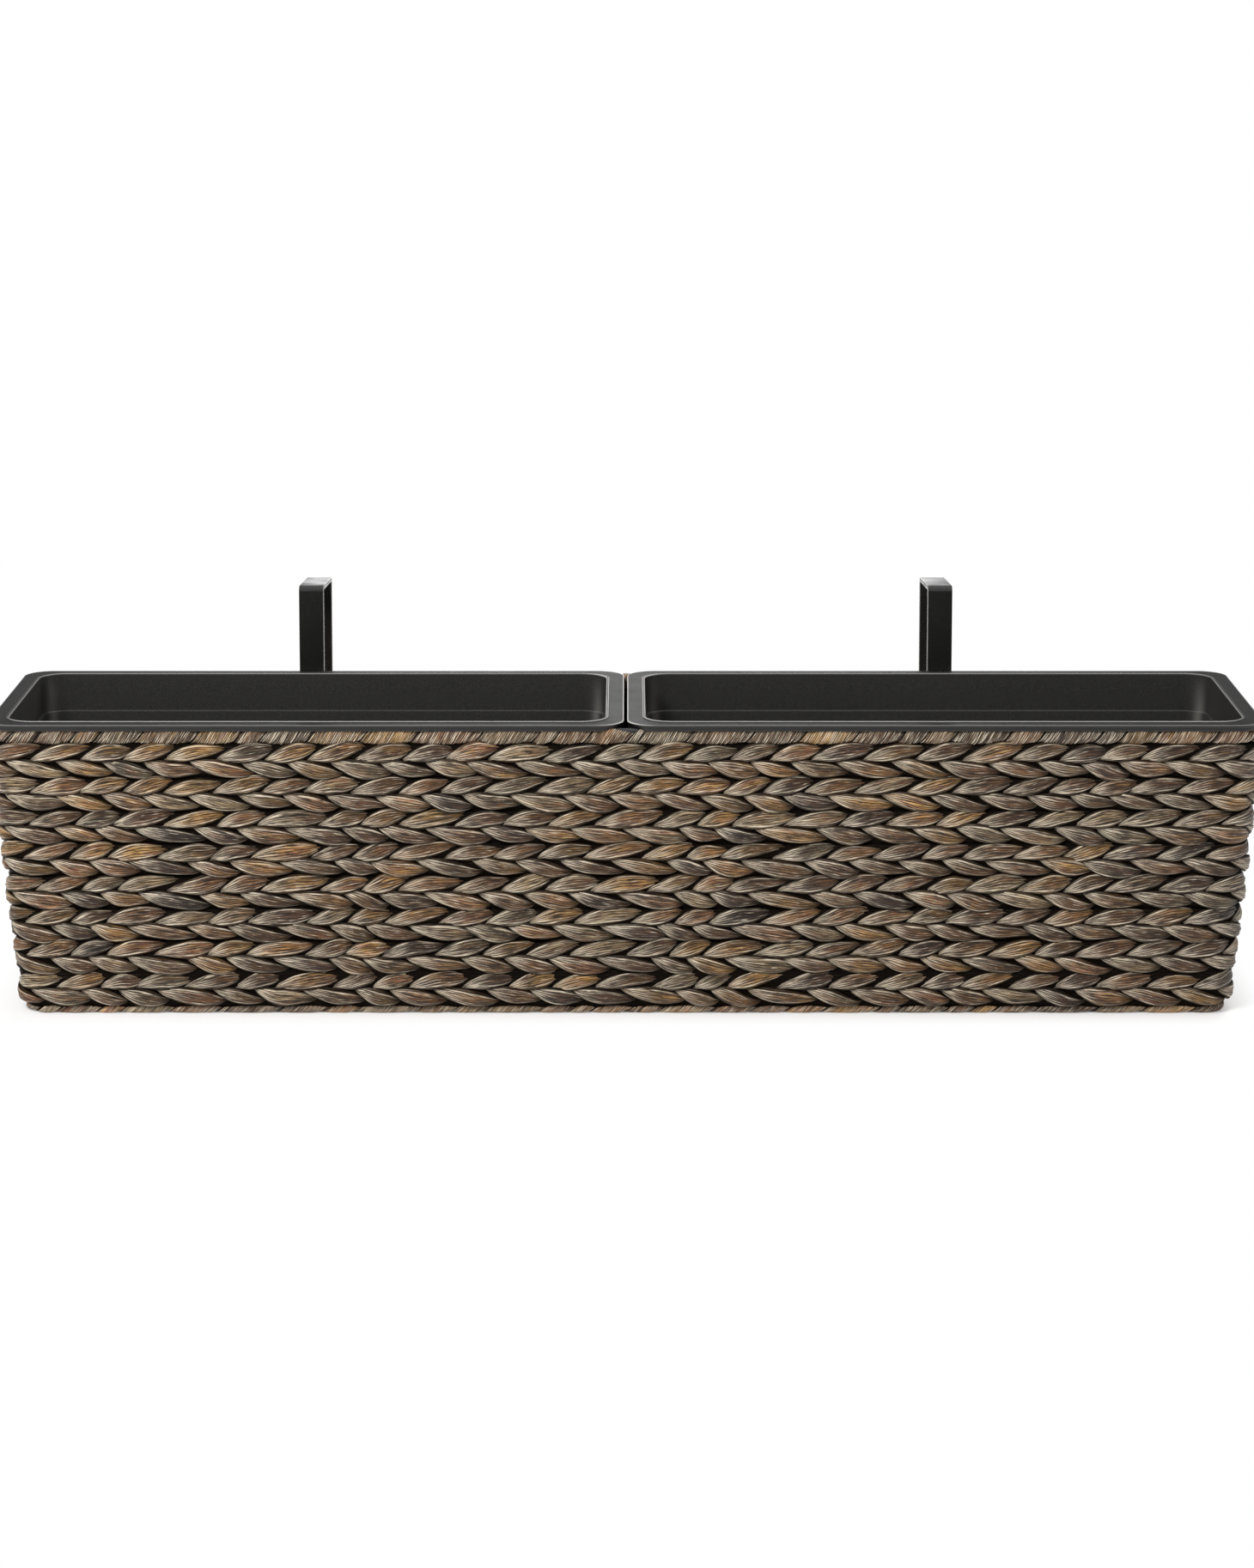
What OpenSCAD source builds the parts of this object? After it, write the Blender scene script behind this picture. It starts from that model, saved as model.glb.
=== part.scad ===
// Balcony railing planter: a plaited leaf basket on a welded wire frame,
// with two drop-in plastic liners and two flat steel railing hangers.
// X runs along the basket, Y towards the railing, Z up. Millimetres.

/* [Basket] */
// Length over the plaits at the rim
basket_l = 802; // [700:1:1000]
// Width over the plaits at the rim
basket_w = 192; // [170:1:240]
// Height from the ground to the crest of the wrapped rim
basket_h = 188; // [150:1:240]
// How far each wall comes in from the rim to the ground
taper = 14.5; // [8:0.5:18]
// Plan radius of the plaited corners
corner_r = 20; // [18:1:30]

/* [Plaits] */
// Thickness of a plait, from its outer to its inner face
plait_t = 9.2; // [7:0.1:9.2]
// Thickness of the flat plaits of the base
base_plait_t = 7.2; // [5:0.1:9]

/* [Frame] */
// Rod of the rim
rim_rod_d = 5.2; // [4:0.1:6]
// Rod of the ground ring and of the base bars
base_rod_d = 4; // [3:0.1:4.6]
// Rod of the posts
post_d = 3.6; // [2.5:0.1:4]
// From the plaits' outer face to the middle of the frame's rods
rod_depth = 7.8; // [7.4:0.1:9]
// Distance between two base bars
bar_pitch = 110; // [90:1:112]
// Distance between two front posts
post_pitch = 140; // [100:1:155]

/* [Wraps] */
// Thickness of the leaf wrapped round the two ring rods
wrap_t = 1.1; // [0.8:0.1:1.6]
// Depth of the flat worn under the ground wrap
foot_flat = 0.4; // [0.3:0.1:0.6]

/* [Liners] */
// Wall of a liner
liner_wall = 1.8; // [1.2:0.1:2.5]
// Thickness of the flange
flange_t = 2; // [1.5:0.1:3]
// Thickness of the downturned lip
lip_t = 1.4; // [1:0.1:2]
// Height of the lip, flange included
lip_h = 4.5; // [3:0.1:6]
// Free slot between the two liners
liner_slot = 2; // [1:0.1:6]
// Depth of the step below the flange's top
step_z = 25; // [18:1:32]
// Width of the step
step_w = 1.5; // [0.8:0.1:2]
// Draft of the wall above the step, in degrees
upper_draft = 2.5; // [1:0.1:4]
// Corner radius inside, at the floor
floor_r = 4; // [3:0.5:8]
// Free height between the base plaits and the liners
floor_gap = 20; // [10:1:40]

/* [Hangers] */
// Distance from the middle of the basket to the middle of a hanger
hanger_x = 209.5; // [180:0.5:240]
// Width of the flat bar
hanger_w = 16.5; // [14:0.5:20]
// Thickness of the flat bar
hanger_t = 3; // [2:0.1:4]
// Free gap for the railing
rail_gap = 70; // [40:1:90]
// Height of a hanger over the rim, measured along the wall
hanger_rise = 58; // [45:1:80]
// Length of the rear leg, from the top
rear_leg = 100; // [80:1:130]
// Outer radius of the two bends
bend_r = 5; // [4.5:0.1:8]
// Thickness of the inner plate that the screws pull against
plate_t = 2; // [1.5:0.1:2.4]
// Width of the inner plate
plate_w = 34; // [32:1:40]

/* [Screws] */
// Thread of the hanger screws
screw_d = 5; // [4:0.5:6]
// Head diameter
head_d = 9.5; // [8.5:0.1:11]
// Head height
head_h = 2.7; // [2:0.1:3.5]
// Key size of the socket
key_w = 3; // [2.5:0.5:4]
// Washer diameter
washer_d = 10; // [9:0.1:13]
// Washer thickness
washer_t = 1; // [0.8:0.1:1.6]
// From a screw to the end of the flat bar and of the inner plate
end_margin = 10; // [8:0.5:14]
// Bare plate between a screw's thread and the post beside it
screw_to_post = 6; // [4:0.5:7]

/* [Clearances] */
// Between pieces that lie on each other
lay_gap = 0.3; // [0.2:0.05:0.5]
// Around a rod in its wrap, or a screw in its thread
fit_gap = 0.1; // [0.05:0.01:0.15]
// Around a screw or a rod that passes through a plait
pass_gap = 0.3; // [0.2:0.05:0.5]
// Between a liner and the wrapped rim
liner_gap = 0.4; // [0.3:0.05:0.8]

/* [Hidden] */
course_count = 8;
base_count = 7;
base_bars_each_side = 3;
front_posts_each_side = 2;
screw_courses = [5, 7];
$fn = 48;

leaf_brown = "#77654c";
leaf_dark = "#5d5040";
liner_black = "#2b2b2c";
coat_black = "#1d1d1e";
wire_grey = "#6d6f71";
zinc_grey = "#9a9c9d";

// Rounds to a hundredth, so that faces that meet lie in one plane
function tidy(v) = round(v * 100) / 100;

// Lean of the walls, and how far in the outer face lies at a height
wall_lean = atan(taper / basket_h);
function inset(z) = taper * (1 - z / basket_h);

// Wrapped rings: outer radius and height of the rod's middle
rim_wrap_r = rim_rod_d / 2 + fit_gap + wrap_t;
rim_z = basket_h - rim_wrap_r;
base_wrap_r = base_rod_d / 2 + fit_gap + wrap_t;
base_z = base_wrap_r - foot_flat;

// The courses share the height between the two wraps
weave_low = base_z + base_wrap_r + lay_gap;
weave_high = rim_z - rim_wrap_r - lay_gap;
course_pitch = (weave_high - weave_low) / course_count;
course_h = course_pitch - lay_gap;
function course_mid(i) = weave_low + (i - 0.5) * course_pitch;

// Base plaits lie on the bars, between the ground wraps and between the corner posts
base_low = base_z + base_rod_d / 2 + lay_gap;
base_mid = base_low + base_plait_t / 2;
base_top = base_low + base_plait_t;
base_side = inset(base_z) + rod_depth + base_wrap_r + lay_gap;
base_end = inset(base_low) + corner_r - (corner_r - rod_depth) * cos(45) + post_d / 2 + lay_gap;
base_pitch = (basket_w - 2 * base_side) / base_count;

// Liners: the lip passes outside the wrapped rim, and the tub inside it
rim_in = inset(rim_z) + rod_depth;
flange_in = rim_in - rim_wrap_r - liner_gap - lip_t;
tub_in = rim_in + rim_wrap_r + liner_gap - flange_in;
flange_z = basket_h + lay_gap;
flange_top = flange_z + flange_t;
flange_l = basket_l / 2 - flange_in - liner_slot / 2;
flange_w = basket_w - 2 * flange_in;
flange_r = corner_r + inset(rim_z) - flange_in;
liner_x = liner_slot / 2 + flange_l / 2;
liner_low = tidy(base_top + floor_gap);
step_low = flange_top - step_z;

// How far the tub's wall has come in at a height, above and below the step
function upper_in(z) = (flange_z - z) * tan(upper_draft);
function lower_in(z) = upper_in(step_low) + step_w + (step_low - z) * tan(wall_lean);

// Hangers: heights along the leaning back wall, from the ground, and the gap in which
// the lower edge of a course's upright face still clears the bar
hanger_top = basket_h / cos(wall_lean) + hanger_rise;
hanger_depth = rail_gap + 2 * hanger_t;
wall_gap = lay_gap + (course_h - plait_t) / 2 * sin(wall_lean);
screw_z = [for (i = screw_courses) course_mid(i) / cos(wall_lean)];
front_end = screw_z[0] - end_margin;
plate_high = screw_z[1] + end_margin;
plate_out = rod_depth + post_d / 2 + fit_gap;
post_gap = screw_d + post_d + 2 * screw_to_post;
screw_len = washer_t + hanger_t + wall_gap + plate_out + plate_t;

// Middle of the whole part over the ground, from the middle of the basket
front_reach = basket_w / 2 - inset(course_mid(course_count));
bend_y = wall_gap + hanger_depth - bend_r;
bend_z = hanger_top - bend_r;
back_reach = basket_w / 2 - taper + bend_y * cos(wall_lean) + bend_z * sin(wall_lean) + bend_r;
y_middle = (back_reach - front_reach) / 2;

// Puts the origin on the ground, under the middle of the whole part
module placed() {
    translate([0, -y_middle, 0]) children();
}

// Carries a profile round a rounded rectangle: the profile's x is outward, its y is up
module round_path(l, w, r) {
    half = [tidy(l / 2), tidy(w / 2)];
    bend = tidy(r);
    for (k = [0 : 3]) {
        along = half[k % 2];
        across = half[1 - k % 2];
        rotate([0, 0, 90 * k]) {
            translate([bend - along, 0, 0]) rotate([90, 0, 90])
                linear_extrude(2 * (along - bend)) translate([across, 0]) children();
            translate([along - bend, across - bend, 0])
                rotate_extrude(angle = 90) translate([bend, 0]) children();
        }
    }
}

// The same, at a height of the basket and a depth behind the plaits' face
module wall_path(z, depth) {
    in = inset(z) + depth;
    translate([0, 0, z]) round_path(basket_l - 2 * in, basket_w - 2 * in, corner_r - depth)
        children();
}

// A straight rod between two points
module rod(from, to, r) {
    run = to - from;
    translate(from) rotate([0, acos(run[2] / norm(run)), atan2(run[1], run[0])])
        cylinder(h = norm(run), r = r);
}

// Where a post stands at a height, on a side or in a corner, at a depth behind the face
function side_point(x, side, z, depth) = [x, side * (basket_w / 2 - inset(z) - depth), z];
function end_point(side, z, depth) = [side * (basket_l / 2 - inset(z) - depth), 0, z];
function corner_point(sx, sy, z, depth) = [
    sx * (basket_l / 2 - inset(z) - corner_r + (corner_r - depth) * cos(45)),
    sy * (basket_w / 2 - inset(z) - corner_r + (corner_r - depth) * sin(45)),
    z
];
post_low = base_z + base_rod_d / 2 + fit_gap;
post_high = rim_z - rim_rod_d / 2 - fit_gap;

module side_post(x, side, r, depth) {
    rod(side_point(x, side, post_low, depth), side_point(x, side, post_high, depth), r);
}

module corner_posts(r, depth = rod_depth) {
    for (sx = [-1, 1], sy = [-1, 1])
        rod(corner_point(sx, sy, post_low, depth), corner_point(sx, sy, post_high, depth), r);
}

module front_posts(r, depth = rod_depth) {
    for (i = [-front_posts_each_side : front_posts_each_side])
        side_post(i * post_pitch, -1, r, depth);
}

// Each hanger has a post on both sides, and one stands in the middle
module back_posts(r, depth = rod_depth) {
    side_post(0, 1, r, depth);
    for (s = [-1, 1], t = [-1, 1]) side_post(s * hanger_x + t * post_gap / 2, 1, r, depth);
}

module end_posts(r, depth = rod_depth) {
    for (s = [-1, 1]) rod(end_point(s, post_low, depth), end_point(s, post_high, depth), r);
}

module all_posts(r, depth = rod_depth) {
    corner_posts(r, depth);
    front_posts(r, depth);
    back_posts(r, depth);
    end_posts(r, depth);
}

// Groove that a post presses into a plait's inner side, open towards the inside
module post_grooves() {
    for (depth = [rod_depth, rod_depth + post_d / 2])
        all_posts(post_d / 2 + pass_gap, depth);
}

// Bars from the front to the back of the ground ring
module base_bars(r, trim) {
    reach = basket_w / 2 - inset(base_z) - rod_depth - trim;
    for (i = [-base_bars_each_side : base_bars_each_side])
        rod([i * bar_pitch, -reach, base_z], [i * bar_pitch, reach, base_z], r);
}

// Leaning frame of the back wall: y is out of the wall, z is up along it
module on_back_wall(x) {
    translate([x, basket_w / 2 - taper, 0]) rotate([-wall_lean, 0, 0]) children();
}

// Cylinders along the screws, from one depth outside the wall to another
module at_screws(from, to, r) {
    for (s = [-1, 1], z = screw_z)
        on_back_wall(s * hanger_x) translate([0, from, z]) rotate([-90, 0, 0])
            cylinder(h = to - from, r = r);
}

module frame_top_ring() {
    color(wire_grey) wall_path(rim_z, rod_depth) circle(d = rim_rod_d);
}

module frame_bottom_ring() {
    color(wire_grey) wall_path(base_z, rod_depth) circle(d = base_rod_d);
}

module frame_base_bars() {
    color(wire_grey) base_bars(base_rod_d / 2, base_rod_d / 2 + fit_gap);
}

// Plate welded on the inner side of two posts, with a threaded hole for each screw
module hanger_plate(side) {
    color(wire_grey) difference() {
        on_back_wall(side * hanger_x) translate([-plate_w / 2, -plate_out - plate_t, front_end])
            cube([plate_w, plate_t, plate_high - front_end]);
        at_screws(-plate_out - plate_t - lay_gap, 0, screw_d / 2 + fit_gap);
    }
}

// Leaf wound round the rim's rod, open where the posts come up
module rim_wrap_top() {
    color(leaf_dark) difference() {
        wall_path(rim_z, rod_depth) difference() {
            circle(r = rim_wrap_r);
            circle(r = rim_wrap_r - wrap_t);
        }
        all_posts(post_d / 2 + fit_gap);
    }
}

// Leaf wound round the ground ring, worn flat below
module rim_wrap_bottom() {
    color(leaf_dark) difference() {
        wall_path(base_z, rod_depth) difference() {
            circle(r = base_wrap_r);
            circle(r = base_wrap_r - wrap_t);
            translate([-base_wrap_r, -base_wrap_r]) square([2 * base_wrap_r, foot_flat]);
        }
        all_posts(post_d / 2 + fit_gap);
        base_bars(base_rod_d / 2 + fit_gap, base_rod_d / 2);
    }
}

// Round-edged section of a plait, t thick and h high
module plait_section(t, h) {
    square([t, h - t], center = true);
    for (s = [-1, 1]) translate([0, s * (h - t) / 2]) circle(d = t);
}

// One plait round the basket, counted from the ground, pressed on to the posts
module plait_course(i) {
    color(leaf_brown) difference() {
        wall_path(course_mid(i), plait_t / 2) plait_section(plait_t, course_h);
        post_grooves();
        at_screws(-plait_t - pass_gap, pass_gap, screw_d / 2 + pass_gap);
    }
}

// One flat plait along the base, counted from the front
module base_plait(i) {
    length = basket_l - 2 * base_end;
    y = (i - (base_count + 1) / 2) * base_pitch;
    color(leaf_brown) translate([-length / 2, y, base_mid]) rotate([90, 0, 90])
        linear_extrude(length) rotate(90) plait_section(base_plait_t, base_pitch - lay_gap);
}

// Profile of a hanger: y out of the wall, z up along it
module hanger_profile() {
    inner_r = bend_r - hanger_t;
    low = tidy(front_end - hanger_top);
    span = hanger_depth - 2 * bend_r;
    translate([0, low]) square([hanger_t, -low - bend_r]);
    translate([bend_r, -hanger_t]) square([span, hanger_t]);
    translate([hanger_depth - hanger_t, -rear_leg]) square([hanger_t, rear_leg - bend_r]);
    for (s = [0, 1]) translate([bend_r + s * span, -bend_r]) difference() {
        intersection() {
            circle(r = bend_r);
            translate([(s - 1) * bend_r, 0]) square(bend_r);
        }
        circle(r = inner_r);
    }
}

module hanger(side) {
    color(coat_black) difference() {
        on_back_wall(side * hanger_x) translate([-hanger_w / 2, wall_gap, hanger_top])
            rotate([90, 0, 90]) linear_extrude(hanger_w) hanger_profile();
        at_screws(0, wall_gap + hanger_t + pass_gap, screw_d / 2 + pass_gap);
    }
}

// Button-head screws from the hangers into the inner plates
module hanger_screws() {
    head_y = wall_gap + hanger_t + washer_t;
    socket_y = head_y + head_h / 3;
    color(zinc_grey) difference() {
        union() {
            at_screws(head_y - screw_len, socket_y, screw_d / 2);
            at_screws(head_y, head_y + head_h, head_d / 2);
        }
        for (s = [-1, 1], z = screw_z)
            on_back_wall(s * hanger_x) translate([0, socket_y, z]) rotate([-90, 0, 0])
                cylinder(h = head_h, d = key_w / cos(30), $fn = 6);
    }
}

module hanger_washers() {
    low = wall_gap + hanger_t;
    color(zinc_grey) difference() {
        at_screws(low, low + washer_t, washer_d / 2);
        at_screws(low - fit_gap, low + washer_t + fit_gap, screw_d / 2 + fit_gap);
    }
}

// Block under a flange, drafted with cone corners: its sides lie top_in inside the
// flange's edge at the height high, and low_in inside it at the height low
module drafted_block(top_in, low_in, r, low, high) {
    half = [tidy(flange_l / 2 - top_in), tidy(flange_w / 2 - top_in)];
    bend = tidy(r);
    draft = tidy(low_in - top_in);
    h = tidy(high) - tidy(low);
    translate([0, 0, tidy(low)]) for (k = [0 : 3]) {
        along = half[k % 2];
        across = half[1 - k % 2];
        rotate([0, 0, 90 * k]) {
            translate([along - bend, across - bend, 0]) rotate_extrude(angle = 90)
                polygon([[0, 0], [bend - draft, 0], [bend, h], [0, h]]);
            translate([bend - along, 0, 0]) rotate([90, 0, 90]) linear_extrude(2 * (along - bend))
                polygon([[0, 0], [across - draft, 0], [across, h], [0, h]]);
        }
    }
}

// Tub of a liner, grown outwards by a wall, from its floor to a height over the flange
module tub(grow, floor_z, top_z) {
    side = tub_in + liner_wall - grow;
    top_r = floor_r + lower_in(liner_low) + grow;
    step = step_low - grow;
    drafted_block(side + lower_in(step), side + lower_in(floor_z), top_r - lower_in(step),
        floor_z, step);
    drafted_block(side, side + upper_in(step), top_r, step, flange_z);
    drafted_block(side, side, top_r, flange_z, top_z);
}

// Lip round the flange, notched at the slot's corners where it crosses the wrapped rim
module lip(side) {
    notch = flange_r + liner_slot;
    difference() {
        translate([0, 0, flange_top - lip_h]) round_path(flange_l, flange_w, flange_r)
            translate([-lip_t, 0]) square([lip_t, lip_h]);
        for (s = [-1, 1])
            translate([-side * liner_x - notch, s * (basket_w / 2 - rim_in), rim_z])
                rotate([0, 90, 0]) cylinder(h = 2 * notch, r = rim_wrap_r + liner_gap);
    }
}

module liner(side) {
    color(liner_black) translate([side * liner_x, 0, 0]) difference() {
        union() {
            drafted_block(0, 0, flange_r, flange_z, flange_top);
            lip(side);
            tub(liner_wall, liner_low, flange_top);
        }
        tub(0, liner_low + liner_wall, flange_top + lay_gap);
    }
}

placed() frame_top_ring();
placed() frame_bottom_ring();
placed() color(wire_grey) corner_posts(post_d / 2);  // frame_corner_posts
placed() color(wire_grey) front_posts(post_d / 2);  // frame_front_posts
placed() color(wire_grey) back_posts(post_d / 2);  // frame_back_posts
placed() color(wire_grey) end_posts(post_d / 2);  // frame_end_posts
placed() frame_base_bars();
placed() hanger_plate(-1);  // hanger_plate_left
placed() hanger_plate(1);  // hanger_plate_right
placed() rim_wrap_top();
placed() rim_wrap_bottom();
for (i = [1 : course_count])
    placed() plait_course(i);
for (i = [1 : base_count])
    placed() base_plait(i);
placed() hanger(-1);  // hanger_left
placed() hanger(1);  // hanger_right
placed() hanger_screws();
placed() hanger_washers();
placed() liner(-1);  // liner_left
placed() liner(1);  // liner_right
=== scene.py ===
# Balcony railing planter: a plaited leaf basket on a wire frame, two plastic liners and
# two flat steel railing hooks. The looks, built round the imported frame.
# Sizes are in millimetres until a mesh is made. +X runs along the basket, +Y to the railing.
import math

import bpy
import numpy as np
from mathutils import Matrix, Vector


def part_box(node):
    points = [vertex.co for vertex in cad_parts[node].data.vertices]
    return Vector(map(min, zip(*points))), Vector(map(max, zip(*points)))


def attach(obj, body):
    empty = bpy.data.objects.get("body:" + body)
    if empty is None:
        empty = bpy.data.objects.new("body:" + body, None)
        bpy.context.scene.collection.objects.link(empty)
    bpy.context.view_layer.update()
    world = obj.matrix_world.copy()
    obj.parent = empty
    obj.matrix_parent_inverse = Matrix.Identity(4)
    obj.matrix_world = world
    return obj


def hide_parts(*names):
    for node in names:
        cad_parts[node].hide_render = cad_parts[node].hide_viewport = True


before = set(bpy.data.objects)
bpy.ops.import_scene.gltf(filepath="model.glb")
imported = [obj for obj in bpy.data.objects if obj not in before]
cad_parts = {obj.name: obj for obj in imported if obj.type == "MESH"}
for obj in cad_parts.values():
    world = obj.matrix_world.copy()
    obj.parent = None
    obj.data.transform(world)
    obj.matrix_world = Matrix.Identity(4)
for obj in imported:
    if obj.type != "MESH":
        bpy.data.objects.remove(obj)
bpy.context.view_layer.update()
millimetre = 0.001
fullTurn = 2 * math.pi
wallSlope = 14.5 / 188    # the basket's walls lean in by 14.5 mm over its height of 188 mm
print("frame loaded:", len(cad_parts), "nodes")


def nodeBox(name):
    # the lowest and the highest corner, the middle and half the size, in millimetres
    low, high = np.array(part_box(name)) / millimetre
    return low, high, (low + high) / 2, (high - low) / 2


def triples(*parts):
    # three arrays or numbers as one array of vectors
    return np.stack(np.broadcast_arrays(*parts), axis=-1)


def linearColour(code):
    # sRGB hex to linear: a straight line for the darkest values, a power of 2.4 above them
    parts = np.array([int(code[i:i + 2], 16) for i in (1, 3, 5)]) / 255
    parts = np.where(parts <= 0.04045, parts / 12.92, ((parts + 0.055) / 1.055) ** 2.4)
    return (*parts.tolist(), 1.0)


def addNode(tree, kind, settings=None, values=None, stops=None):
    # values maps an input's name or number to a plain value, to another node's output, or to a
    # node, which stands for its first output
    node = tree.nodes.new("ShaderNode" + kind)
    for key, value in (settings or {}).items():
        setattr(node, key, value)
    for key, value in (values or {}).items():
        if isinstance(value, bpy.types.Node):
            value = value.outputs[0]
        if isinstance(value, bpy.types.NodeSocket):
            tree.links.new(value, node.inputs[key])
        else:
            node.inputs[key].default_value = value
    if stops:
        ramp = node.color_ramp
        while len(ramp.elements) < len(stops):
            ramp.elements.new(1.0)
        for element, (place, colour) in zip(ramp.elements, stops):
            element.position = place
            element.color = linearColour(colour)
    return node


smoothStep = {"interpolation_type": "SMOOTHSTEP"}
colourMix = {"data_type": "RGBA"}    # a Mix node of colours has the inputs 6 and 7, the output 2


def attributeParts(tree, name):
    # a mesh attribute's vector, and its three components
    vector = addNode(tree, "Attribute", {"attribute_name": name}).outputs["Vector"]
    return vector, addNode(tree, "SeparateXYZ", values={0: vector}).outputs


def newMaterial(name):
    material = bpy.data.materials.new(name)
    material.use_nodes = True
    material.node_tree.nodes.clear()
    return material, material.node_tree


def makePiece(name, points, quads, material, caps=(), corners=None):
    # points is (n, 3) in millimetres, quads (n, 4), caps are flat faces with any count of points
    loops = np.concatenate([np.asarray(quads).ravel(), *[np.asarray(cap) for cap in caps]])
    sizes = np.array([4] * len(quads) + [len(cap) for cap in caps])
    mesh = bpy.data.meshes.new(name)
    mesh.vertices.add(len(points))
    mesh.vertices.foreach_set("co", (points * millimetre).astype(np.float32).ravel())
    mesh.loops.add(len(loops))
    mesh.loops.foreach_set("vertex_index", loops.astype(np.int32))
    mesh.polygons.add(len(sizes))
    mesh.polygons.foreach_set("loop_start", (np.cumsum(sizes) - sizes).astype(np.int32))
    mesh.polygons.foreach_set("use_smooth", np.ones(len(sizes), bool))
    for key, data in (corners or {}).items():
        layer = mesh.attributes.new(key, "FLOAT_VECTOR", "CORNER")
        layer.data.foreach_set("vector", data.astype(np.float32).ravel())
    mesh.update(calc_edges=True)
    mesh.materials.append(material)
    piece = bpy.data.objects.new(name, mesh)
    bpy.context.collection.objects.link(piece)
    return piece


def dress(piece, body, slot, *nodes):
    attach(piece, body)
    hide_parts(*nodes)


def tubeFaces(count, around, shift=0):
    # Quads of a tube closed along and around: ring i, column j has the index i * around + j.
    # With a shift, the last column joins the first one of the ring that many steps further on.
    i, j = np.divmod(np.arange(count * around), around)
    nextI, nextJ = i + 1, (j + 1) % around
    jump = np.where(j == around - 1, shift, 0)
    return np.stack([
        i * around + j,
        (nextI % count) * around + j,
        ((nextI + jump) % count) * around + nextJ,
        ((i + jump) % count) * around + nextJ], axis=1)


def endCaps(count, around):
    # the faces that close an open tube at its first and its last ring
    return [np.arange(around)[::-1], (count - 1) * around + np.arange(around)]


def roundedPath(halfLong, halfWide, radius, centreY, s):
    # A rounded rectangle by its length s, from the middle of the front towards +x. Each point
    # is a corner's centre, plus the radius along the outward normal, plus the run of a straight.
    runX, runY, quarter = 2 * (halfLong - radius), 2 * (halfWide - radius), math.pi / 2 * radius
    legs = np.array([runX / 2, quarter, runY, quarter, runX, quarter, runY, quarter, runX / 2])
    ends = np.cumsum(legs)
    s = s % ends[-1]
    leg = np.minimum(np.searchsorted(ends, s, side="right"), len(legs) - 1)
    t = s - (ends - legs)[leg]
    bend = leg % 2 == 1
    heading = math.pi / 2 * (leg // 2) + np.where(bend, t / radius, 0)
    signX = np.array([0, 1, 1, 1, 1, -1, -1, -1, -1])[leg]
    signY = np.array([-1, -1, -1, 1, 1, 1, 1, -1, -1])[leg]
    outX, outY = np.sin(heading), -np.cos(heading)
    run = np.where(bend, 0, t)
    x = signX * (halfLong - radius) + radius * outX + run * np.cos(heading)
    y = signY * (halfWide - radius) + radius * outY + run * np.sin(heading) + centreY
    return x, y, outX, outY


def pathLength(halfLong, halfWide, radius):
    return 4 * (halfLong + halfWide - 2 * radius) + fullTurn * radius


# Camera, matched to the photograph's rim, hooks and liners
cameraLook = {"lens": 91.0, "place": (0.9, -2550.0, 669.0), "pitch": 12.07}
cameraData = bpy.data.cameras.new("camera")
cameraData.lens = cameraLook["lens"]
camera = bpy.data.objects.new("camera", cameraData)
camera.location = np.array(cameraLook["place"]) * millimetre
camera.rotation_euler = (math.radians(90 - cameraLook["pitch"]), 0, 0)
bpy.context.collection.objects.link(camera)
bpy.context.scene.camera = camera


# Dyed, dried hyacinth leaf: long fibres, pale where they are worn, with a painted highlight along
# each lobe's edges and painted shade, near black, in the gaps and furrows
leafPalette = [
    (0.00, "#2b1d14"), (0.20, "#452f21"), (0.40, "#67462b"), (0.55, "#7a5631"),
    (0.68, "#9c7840"), (0.78, "#7b4b33"), (0.88, "#705a3f"), (1.00, "#8f7a5a")]
leafLook = {
    "noiseRoughness": 0.62,
    "bendWidth": 5.0, "bendLength": 30.0, "bend": 14.0,    # the furrows' slow bend, in radians
    "furrowPower": 5.0,
    "shade": (0.27, 1.15),    # brightness of the darkest and of the lightest patches
    "wornFrom": 0.42, "wornTo": 0.56, "wornLeast": 0.05,
    "refraction": 1.45, "specular": 0.5, "varnishRoughness": 0.3}


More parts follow.
